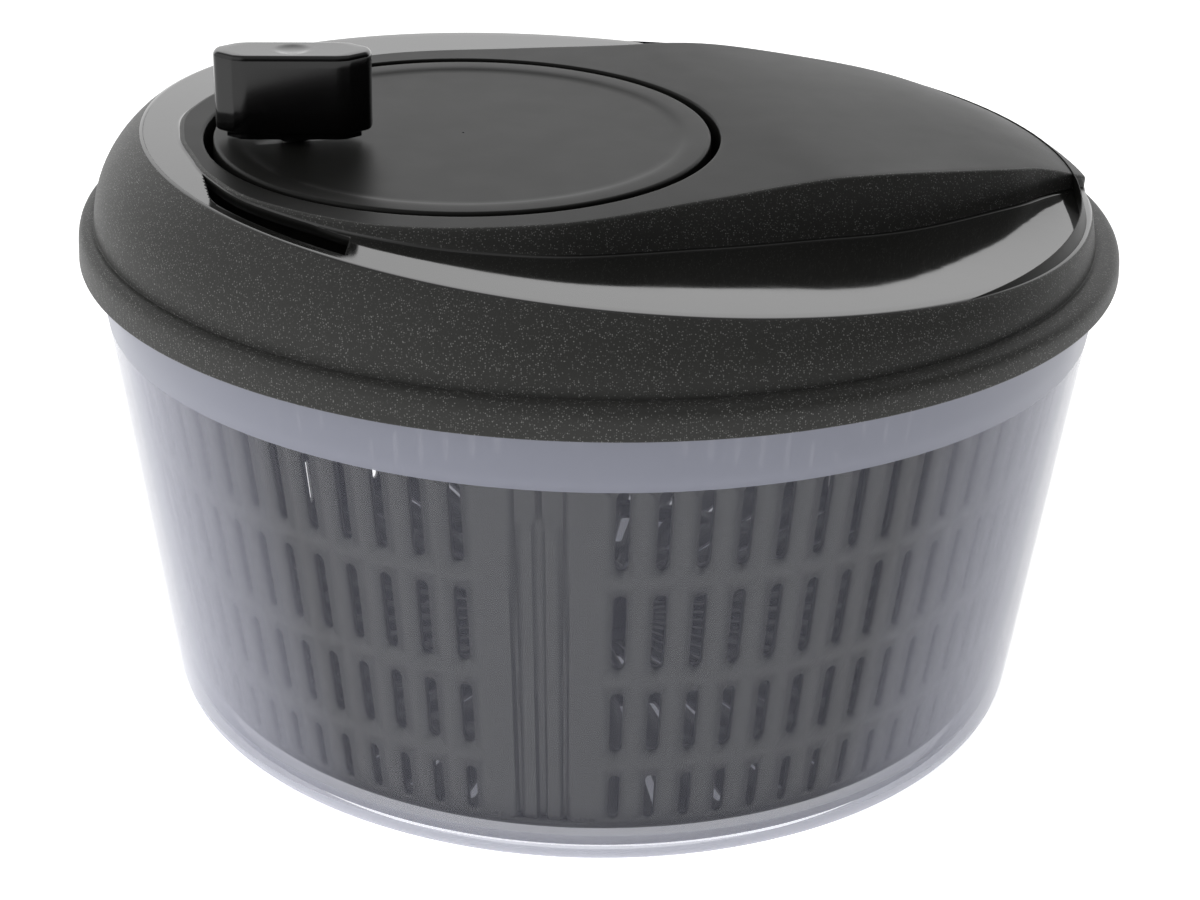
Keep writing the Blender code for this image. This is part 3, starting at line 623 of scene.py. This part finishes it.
# height of the plateau along X
PLATEAU_FALL = smooth_through([
    (30.0 * MM, PLATEAU_TOP), (40.0 * MM, 149.45 * MM), (56.7 * MM, 148.4 * MM),
    (76.3 * MM, 146.2 * MM), (95.6 * MM, 143.3 * MM), (109.1 * MM, 140.1 * MM),
    (121.8 * MM, 134.6 * MM), (128.0 * MM, 131.6 * MM)], 8)
CHANNEL_GAIN = STEP_RADIUS - SIDE_LEAN * (CHANNEL_HEIGHT - STEP_HEIGHT)


def plateau_height(radius, angle):
    """Level over the disc, then falling along X, and by radius at the nose."""
    x = radius * math.cos(angle)
    return look_up(PLATEAU_FALL, x + (radius - x) * between(x, 40 * MM, 110 * MM))


def channel_height(x):
    return CHANNEL_HEIGHT - CHANNEL_TILT * x


# how far the plateau's foot lies above the channel's plane, along X
GUTTER = smooth_through([
    (-100.0 * MM, 0.0), (-70.0 * MM, 0.0), (-40.0 * MM, -0.5 * MM), (-5.0 * MM, -1.1 * MM),
    (30.0 * MM, -1.1 * MM), (60.0 * MM, -0.1 * MM), (85.0 * MM, 1.1 * MM),
    (104.0 * MM, 1.6 * MM), (117.0 * MM, 1.0 * MM), (124.0 * MM, 0.0)], 4)


def foot_height(x):
    """The channel lies deeper along the plateau's foot, and comes up towards the nose."""
    return channel_height(x) + look_up(GUTTER, x)


def fold(angle):
    """The same azimuth on the +Y side, 0 to pi."""
    return abs(math.atan2(math.sin(angle), math.cos(angle)))


def channel_edge(angle, inset=0.0):
    """Radius where the channel's floor meets the lid's side, a little fuller at the nose."""
    base = CHANNEL_GAIN - inset + SIDE_LEAN * inset
    fuller = NOSE_FULLNESS * (1 - between(fold(angle), math.radians(18), math.radians(34)))
    return base / (1 - SIDE_LEAN * CHANNEL_TILT * math.cos(angle)) + fuller


def nose_edge(angle, inset=0.0):
    """Radius of the plateau's end over the nose, which spreads towards its two corners."""
    corner = between(fold(angle), math.radians(4), math.radians(17.5))
    return NOSE_RADIUS + NOSE_SPREAD * corner - inset


def step_point(angle):
    """Where the side ends in the groove above the skirt."""
    return (STEP_RADIUS + (0.5 - 1.2 * math.cos(angle)) * MM,
            STEP_HEIGHT + (0.5 - 1.3 * math.cos(angle)) * MM)


def well_edge(angle, radius):
    """Distance from the lid's axis to a circle about the disc's axis."""
    across = DISC_X * math.sin(angle)
    return DISC_X * math.cos(angle) + math.sqrt(radius ** 2 - across ** 2)


def plateau_edges(angle, inset=0.0):
    """Radii of the plateau's top edge, of its foot in the channel and of the channel's edge."""
    nose = nose_edge(angle, inset)
    edge = channel_edge(angle, inset)
    top = min(look_up(OUTLINE_POLAR, fold(angle)) - inset, nose)
    x = top * math.cos(angle)
    height = plateau_height(top, angle) - foot_height(x)
    run = 0.2 * MM + 0.34 * max(0.0, height)
    beside_disc = between(x, -76 * MM, -58 * MM) * (1 - between(x, -45 * MM, -15 * MM))
    run += 1.6 * MM * beside_disc
    room = edge - 0.15 * MM - top
    run += max(0.0, room - run) * between(top, nose - 3 * MM, nose - 0.3 * MM)
    return top, top + min(run, room), edge


def lid_section(angle):
    """The lid's cut along one azimuth: a closed path of (radius, height) and its zones."""
    satin, grained, gloss = range(3)
    cosine = math.cos(angle)
    top, foot, edge = plateau_edges(angle)
    well = well_edge(angle, WELL_RADIUS)
    rise = plateau_height(top, angle)
    foot_point = (foot, foot_height(foot * cosine))
    edge_point = (edge, channel_height(edge * cosine))
    step = step_point(angle)
    bulge = SIDE_SWELL * (1 - cosine)
    rim, crest, lip = 0.8 * MM, 0.9 * MM, 0.9 * MM      # roundings, from the well outwards
    path, zones = [], []

    def extend(points, zone):
        for point in points:
            path.append(point)
            zones.append(zone)

    def fillet(before, here, after, size, zone, steps):
        here = Vector(here)
        back, on = Vector(before) - here, Vector(after) - here
        start = here + back * min(0.49, size / max(back.length, 1e-9))
        end = here + on * min(0.49, size / max(on.length, 1e-9))
        extend([tuple(start * (1 - t) ** 2 + here * 2 * t * (1 - t) + end * t * t)
                for t in spaced(0.0, 1.0, steps)], zone)

    def side(share):
        swell = bulge * 4 * share * (1 - share)
        return (edge + (step[0] - edge) * share + swell,
                edge_point[1] + (step[1] - edge_point[1]) * share + swell * SIDE_LEAN)

    extend([(SHAFT_HOLE, WELL_FLOOR), ((SHAFT_HOLE + well) / 2, WELL_FLOOR)], satin)
    fillet((0.0, WELL_FLOOR), (well, WELL_FLOOR), (well, PLATEAU_TOP), 1 * MM, satin, 4)
    brim = (well, plateau_height(well + rim, angle))
    fillet((well, WELL_FLOOR), brim, (top, brim[1]), rim, satin, 7)
    for share in spaced(0.04, 0.96, 14):
        radius = well + rim + (top - crest - well - rim) * share
        extend([(radius, plateau_height(radius, angle))], satin)
    inside = (top - 3 * crest, plateau_height(top - 3 * crest, angle))
    fillet(inside, (top, rise), foot_point, crest, grained, 6)
    extend([(top + (foot - top) * s, rise + (foot_point[1] - rise) * s) for s in (0.35, 0.65)],
           grained)
    fillet((top, rise), foot_point, edge_point, 0.6 * MM, gloss, 4)
    extend([(foot + (edge - foot) * s, foot_point[1] + (edge_point[1] - foot_point[1]) * s)
            for s in spaced(0.08, 0.92, 12)], gloss)
    fillet(foot_point, edge_point, side(0.3), lip, gloss, 8)
    zones[-4:] = [grained] * 4                          # the lip's outer half
    extend([side(share) for share in spaced(0.12, 0.94, 14)], grained)
    groove, skirt_top = step
    tail = [(*side(0.96), 0.0), (*step, 0.25 * MM),
            (groove + 1.0 * MM, skirt_top + 0.1 * MM, 0.5 * MM),
            (LID_RADIUS - 0.3 * MM, skirt_top - 0.6 * MM, 3.6 * MM),
            (LID_RADIUS, SKIRT_BOTTOM, 0.5 * MM), (SKIRT_INNER, SKIRT_BOTTOM, 0.4 * MM),
            (SKIRT_INNER, RIM_SEAT, 0.4 * MM), (GUIDE_RADIUS + 3.8 * MM, RIM_SEAT, 0.0)]
    extend(rounded(tail, 6)[1:], grained)

    # the hollow underneath
    in_top, in_foot, in_edge = plateau_edges(angle, LID_WALL)
    cup = well_edge(angle, WELL_RADIUS + LID_WALL)
    extend([(in_edge, channel_height(in_edge * cosine) - LID_WALL),
            (in_foot, foot_height(in_foot * cosine) - LID_WALL),
            (in_top, plateau_height(in_top, angle) - LID_WALL)], satin)
    for share in (0.25, 0.5, 0.75, 1.0):
        radius = in_top + (cup - in_top) * share
        extend([(radius, plateau_height(radius, angle) - LID_WALL)], satin)
    extend([(cup, WELL_UNDERSIDE), (SHAFT_HOLE, WELL_UNDERSIDE)], satin)
    return path, zones


def lid_angles():
    """Every half degree, and finer where the plateau's flanks run out at the nose."""
    angles = []
    step = 0.0
    while step < 360.0 - 1e-6:
        angles.append(math.radians(step))
        step += 0.25 if 12.0 <= min(step, 360.0 - step) < 22.0 else 0.5
    return angles


def slot_outline():
    """Plan of the drain slot: it follows the plateau's foot, then the lid's own rim."""
    inner = [polar(max(SLOT_INNER, plateau_edges(angle)[1] + 0.1 * MM), angle)
             for angle in spaced(math.radians(-172.6), math.radians(-143.2), 18)]
    outer = [polar(SLOT_OUTER, angle)
             for angle in spaced(math.radians(-139.8), math.radians(-160.5), 14)]
    start, bend, end = outer[-1], (-106.0 * MM, -32.5 * MM), (-105.0 * MM, -27.0 * MM)
    corner = [tuple(a * (1 - t) ** 2 + b * 2 * t * (1 - t) + c * t * t
                    for a, b, c in zip(start, bend, end)) for t in spaced(0.12, 1.0, 8)]
    return inner + outer + corner


def make_lid():
    shape = bmesh.new()
    rings = []
    for angle in lid_angles():
        path, zones = lid_section(angle)
        rings.append([(*polar(r, angle), z) for r, z in path])
    skin(shape, rings, zones=zones)
    lid = build("lid_top", shape, [LID_SATIN, LID_GRAINED, LID_GLOSS], 60.0)
    cut(lid, build("slot_tool", prism(slot_outline(), 138 * MM, 156 * MM), [LID_SATIN]))
    cut(lid, round_cutter("axle_tool", (DISC_X, 0.0), AXLE_HOLE, 120 * MM, 135 * MM, LID_SATIN))
    show(lid, "lid", "lid_black", "lid_shell")


def make_guide_ring():
    """The ring under the lid that fits inside the bowl's rim."""
    outer = GUIDE_RADIUS + 2.0 * MM
    top = 136.0 * MM
    guide = turned("lid_guide_ring", rounded([
        (GUIDE_RADIUS, top, 0.0), (GUIDE_RADIUS, GUIDE_BOTTOM, 0.5 * MM),
        (outer, GUIDE_BOTTOM, 0.5 * MM), (outer, 130.0 * MM, 0.0),
        (GUIDE_RADIUS + 0.2 * MM, top, 0.0)], 3), [LID_SATIN], steps=160)
    show(guide, "lid", "lid_black")


def make_liner_bosses():
    """Hollow posts under the lid that take the liner's screws."""
    shape = bmesh.new()
    for x in (-BOSS_PLACE, BOSS_PLACE):
        for y in (-BOSS_PLACE, BOSS_PLACE):
            under_well = math.hypot(x - DISC_X, y) < 60 * MM
            top = WELL_UNDERSIDE + 0.6 * MM if under_well else plateau_height(x, 0.0) - 1.4 * MM
            section = [(BOSS_HOLE, top), (BOSS_HOLE, BOSS_BOTTOM),
                       (BOSS_RADIUS - 0.4 * MM, BOSS_BOTTOM),
                       (BOSS_RADIUS, BOSS_BOTTOM + 0.5 * MM), (BOSS_RADIUS, top)]
            rows = [[(x + r * math.cos(a), y + r * math.sin(a), z) for r, z in section]
                    for a in spaced(0.0, 2 * math.pi * 23 / 24, 24)]
            skin(shape, rows)
    bosses = build("lid_liner_bosses", shape, [LID_SATIN])
    show(bosses, "lid", "lid_black")


# ---------------------------------------------------------------- crank disc and knob
def make_disc():
    """A shallow dish with a raised rim, a skirt and a hub that takes the axle from below."""
    profile = rounded([
        (0.3 * MM, DISH_FLOOR, 0.0), (30.0 * MM, DISH_FLOOR, 0.0), (52.8 * MM, DISH_FLOOR, 1.6 * MM),
        (55.2 * MM, PLATEAU_TOP, 1.4 * MM), (DISC_RADIUS, PLATEAU_TOP, 1.0 * MM),
        (DISC_RADIUS, DISC_BOTTOM, 0.5 * MM), (DISC_RADIUS - 2.0 * MM, DISC_BOTTOM, 0.3 * MM),
        (DISC_RADIUS - 2.0 * MM, DISC_UNDERSIDE, 0.8 * MM),
        (DISC_HUB_RADIUS, DISC_UNDERSIDE, 0.8 * MM),
        (DISC_HUB_RADIUS, DISC_HUB_BOTTOM, 0.3 * MM), (AXLE_HOLE, DISC_HUB_BOTTOM, 0.3 * MM),
        (AXLE_HOLE, 146.0 * MM, 0.0), (0.3 * MM, 146.0 * MM, 0.0)], 6)
    disc = turned("crank_disc_top", profile, [DISC_SATIN], steps=256, at=(DISC_X, 0.0))
    cut(disc, round_cutter("pin_tool", KNOB_AT, PIN_HOLE, 140 * MM, 152 * MM, DISC_SATIN))
    show(disc, "crank", "disc_black", "crank_disc")


def knob_outline():
    """Plan of the knob: straight long sides, a small facet at each corner and blunt ends."""
    corners = [(KNOB_HALF_LENGTH, 0.0, 2.4 * MM), (18.5 * MM, 2.7 * MM, 1.0 * MM),
               (14.0 * MM, 6.3 * MM, 0.25 * MM), (11.4 * MM, KNOB_HALF_WIDTH, 0.9 * MM),
               (0.0, KNOB_HALF_WIDTH, 0.5 * MM)]
    half = corners + [(-x, y, size) for x, y, size in reversed(corners[:-1])]
    ring = half + [(x, -y, size) for x, y, size in reversed(half[1:-1])]
    path = rounded([ring[-1], *ring, ring[0]], 5)[1:-1]
    points = []
    for index, point in enumerate(path):                # long straight runs get more points
        after = Vector(path[(index + 1) % len(path)]) - Vector(point)
        parts = max(1, round(after.length / (1.2 * MM)))
        points += [(point[0] + after.x * i / parts, point[1] + after.y * i / parts)
                   for i in range(parts)]
    return points


def inset_outline(outline, inset):
    """The outline with every point moved inwards, square to its neighbours' line."""
    moved = []
    for index, point in enumerate(outline):
        before, after = outline[index - 1], outline[(index + 1) % len(outline)]
        along = Vector((after[0] - before[0], after[1] - before[1])).normalized()
        moved.append((point[0] - along.y * inset, point[1] + along.x * inset))
    return moved


def join_rings(shape, first, second):
    for i in range(len(first)):
        j = (i + 1) % len(first)
        shape.faces.new((first[i], first[j], second[j], second[i]))


def shrink(shape, start, radius, goal_z, shares):
    """Rings from an outline in to a circle, at these shares of the way. Returns the last one."""
    previous = start
    first = [Vector(v.co) for v in start]
    for share in shares:
        ring = []
        for point in first:
            flat = point.to_2d().lerp(point.to_2d().normalized() * radius, share)
            ring.append(shape.verts.new((*flat, point.z + (goal_z - point.z) * share)))
        join_rings(shape, previous, ring)
        previous = ring
    return previous


def make_knob():
    """A rounded block on a smaller dark foot that stands in for the shade under the knob, with a
    soft dimple on top and a stepped hole below.
    """
    outline = knob_outline()
    height = KNOB_TOP - KNOB_BOTTOM
    # the first two layers are the dark foot: painted shade under the knob, not a lit part of its
    # shape
    layers = [(KNOB_SHADE_FOOT_INSET, -KNOB_SHADE_FOOT_DEPTH), (KNOB_SHADE_FOOT_INSET, 0.0), (1.0 * MM, 0.0),
              (0.6 * MM, 0.1 * MM), (0.2 * MM, 0.4 * MM), (0.0, 0.9 * MM)]
    layers += [(0.0, height * share) for share in (0.3, 0.6, 0.85)]
    layers += [(KNOB_EDGE * (1 - math.cos(a)), height - KNOB_EDGE * (1 - math.sin(a)))
               for a in spaced(0.0, math.pi / 2, 7)]
    shape = bmesh.new()
    rows = [[shape.verts.new((x, y, z)) for x, y in inset_outline(outline, inset)]
            for inset, z in layers]
    for row, other in zip(rows, rows[1:]):
        join_rings(shape, row, other)

    shares = (0.2, 0.45, 0.7, 0.9, 1.0)
    dimple = shrink(shape, rows[-1], 4.6 * MM, height - 0.02 * MM, shares)
    for radius, depth in ((4.0, 0.06), (3.4, 0.16), (2.7, 0.28), (1.8, 0.37), (0.9, 0.42)):
        dimple = shrink(shape, dimple, radius * MM, height - depth * MM, (1.0,))
    shape.faces.new(dimple)
    hole = shrink(shape, rows[0], COLLAR_HOLE, -KNOB_SHADE_FOOT_DEPTH, shares)
    for radius, z in ((COLLAR_HOLE, COLLAR_HOLE_TOP), (PIN_HOLE, COLLAR_HOLE_TOP),
                      (PIN_HOLE, PIN_HEAD_FROM), (PIN_HEAD_HOLE, PIN_HEAD_FROM),
                      (PIN_HEAD_HOLE, PIN_HEAD_TO), (1.0 * MM, PIN_HEAD_TO)):
        hole = shrink(shape, hole, radius, z - KNOB_BOTTOM, (1.0,))
    shape.faces.new(hole)
    place = Matrix.Translation((*KNOB_AT, KNOB_BOTTOM)) @ Matrix.Rotation(KNOB_TURN, 4, "Z")
    bmesh.ops.transform(shape, matrix=place, verts=shape.verts)
    knob = build("turning_knob", shape, [KNOB_GLOSS], 30.0)
    show(knob, "knob", "knob_black", "knob")


# ---------------------------------------------------------------- nodes that keep their CAD shape
def dress_frame():
    looks = {"natural": NATURAL_PLASTIC, "steel": STEEL, "basket_grey": BASKET_PLASTIC,
             "lid_black": LID_SATIN, "knob_black": KNOB_GLOSS}
    slots = {part["node"]: part["material_slot"] for part in frame["record"]["subparts"]}
    for name, obj in frame["nodes"].items():
        material = looks.get(slots[name])
        if material:
            obj.data.materials.clear()
            obj.data.materials.append(material)


# ---------------------------------------------------------------- studio
def make_floor():
    half_size = 4.0
    shape = bmesh.new()
    bmesh.ops.create_grid(shape, x_segments=1, y_segments=1, size=half_size)
    material, tree, shader = new_material("studio_floor")
    tone = blend_colour(tree, noise(tree, 0.4), (0.93, 0.93, 0.93), (0.95, 0.95, 0.95))
    tree.links.new(tone, shader.inputs["Base Color"])
    shader.inputs["Roughness"].default_value = 0.9
    shader.inputs["Specular IOR Level"].default_value = 0.0
    shader.inputs["Emission Color"].default_value = (1.0, 1.0, 1.0, 1.0)
    shader.inputs["Emission Strength"].default_value = FLOOR_LIGHT
    floor = build("floor", shape, [material])


def make_sky():
    """Light from the world alone: a bright wall behind, a soft light at the left, some above."""
    world = bpy.data.worlds.new("studio")
    bpy.context.scene.world = world
    world.use_nodes = True
    tree = world.node_tree
    background = tree.nodes["Background"]
    direction = add(tree, "ShaderNodeTexCoord").outputs["Generated"]
    height = add(tree, "ShaderNodeSeparateXYZ", {0: direction}).outputs["Z"]
    view = math.radians(-110.0)                 # where the camera stands, seen from the object

    def smooth(value, low, high, first, last):
        return add(tree, "ShaderNodeMapRange",
                   {"Value": value, "From Min": low, "From Max": high, "To Min": first,
                    "To Max": last}, interpolation_type="SMOOTHSTEP").outputs[0]

    def towards(azimuth, elevation, low, high, first, last):
        """`first` where the direction's cosine to the aim is under `low`, `last` above `high`."""
        tilt = math.radians(elevation)
        aim = (*polar(math.cos(tilt), azimuth), math.sin(tilt))
        facing = add(tree, "ShaderNodeVectorMath", {0: direction, 1: aim},
                     operation="DOT_PRODUCT").outputs["Value"]
        return smooth(facing, low, high, first, last)

    def combine(first, second, operation):
        return add(tree, "ShaderNodeMath", {0: first, 1: second}, operation=operation).outputs[0]

    wall = combine(towards(view + math.pi, 0.0, 0.25, 0.75, 0.0, WALL_LIGHT),
                   smooth(height, 0.45, 0.80, 1.0, 0.0), "MULTIPLY")
    left = towards(view - math.radians(70.0), 25.0, 0.60, 0.92, 0.0, SIDE_LIGHT)
    above = smooth(height, 0.55, 1.0, LEVEL_LIGHT, TOP_LIGHT)
    total = combine(combine(wall, left, "ADD"), above, "ADD")
    dim = towards(view + math.radians(58.0), 0.0, 0.35, 0.90, 1.0, SHADED_SHARE)
    tree.links.new(combine(total, dim, "MULTIPLY"), background.inputs["Strength"])
    background.inputs["Color"].default_value = (1.0, 1.0, 1.0, 1.0)


def make_camera():
    camera = bpy.data.cameras.new("camera")
    camera.lens = 80.2
    camera.sensor_width = 36.0
    camera.shift_x = 0.0035
    camera.clip_start = 0.05
    camera.clip_end = 20.0
    obj = bpy.data.objects.new("camera", camera)
    bpy.context.scene.collection.objects.link(obj)
    place = Vector((-219.3, -602.5, 348.4)) * MM
    target = Vector((0.0, 0.0, 58.7)) * MM
    aim = (target - place).to_track_quat("-Z", "Y").to_matrix().to_4x4()
    roll = Matrix.Rotation(math.radians(0.99), 4, "Z")
    obj.matrix_world = Matrix.Translation(place) @ aim @ roll
    bpy.context.scene.camera = obj
    bpy.context.scene.view_settings.view_transform = "Standard"


make_bowl()
make_basket()
make_keyway_ribs()
make_lid()
make_guide_ring()
make_liner_bosses()
make_disc()
make_knob()
dress_frame()
make_floor()
make_sky()
make_camera()
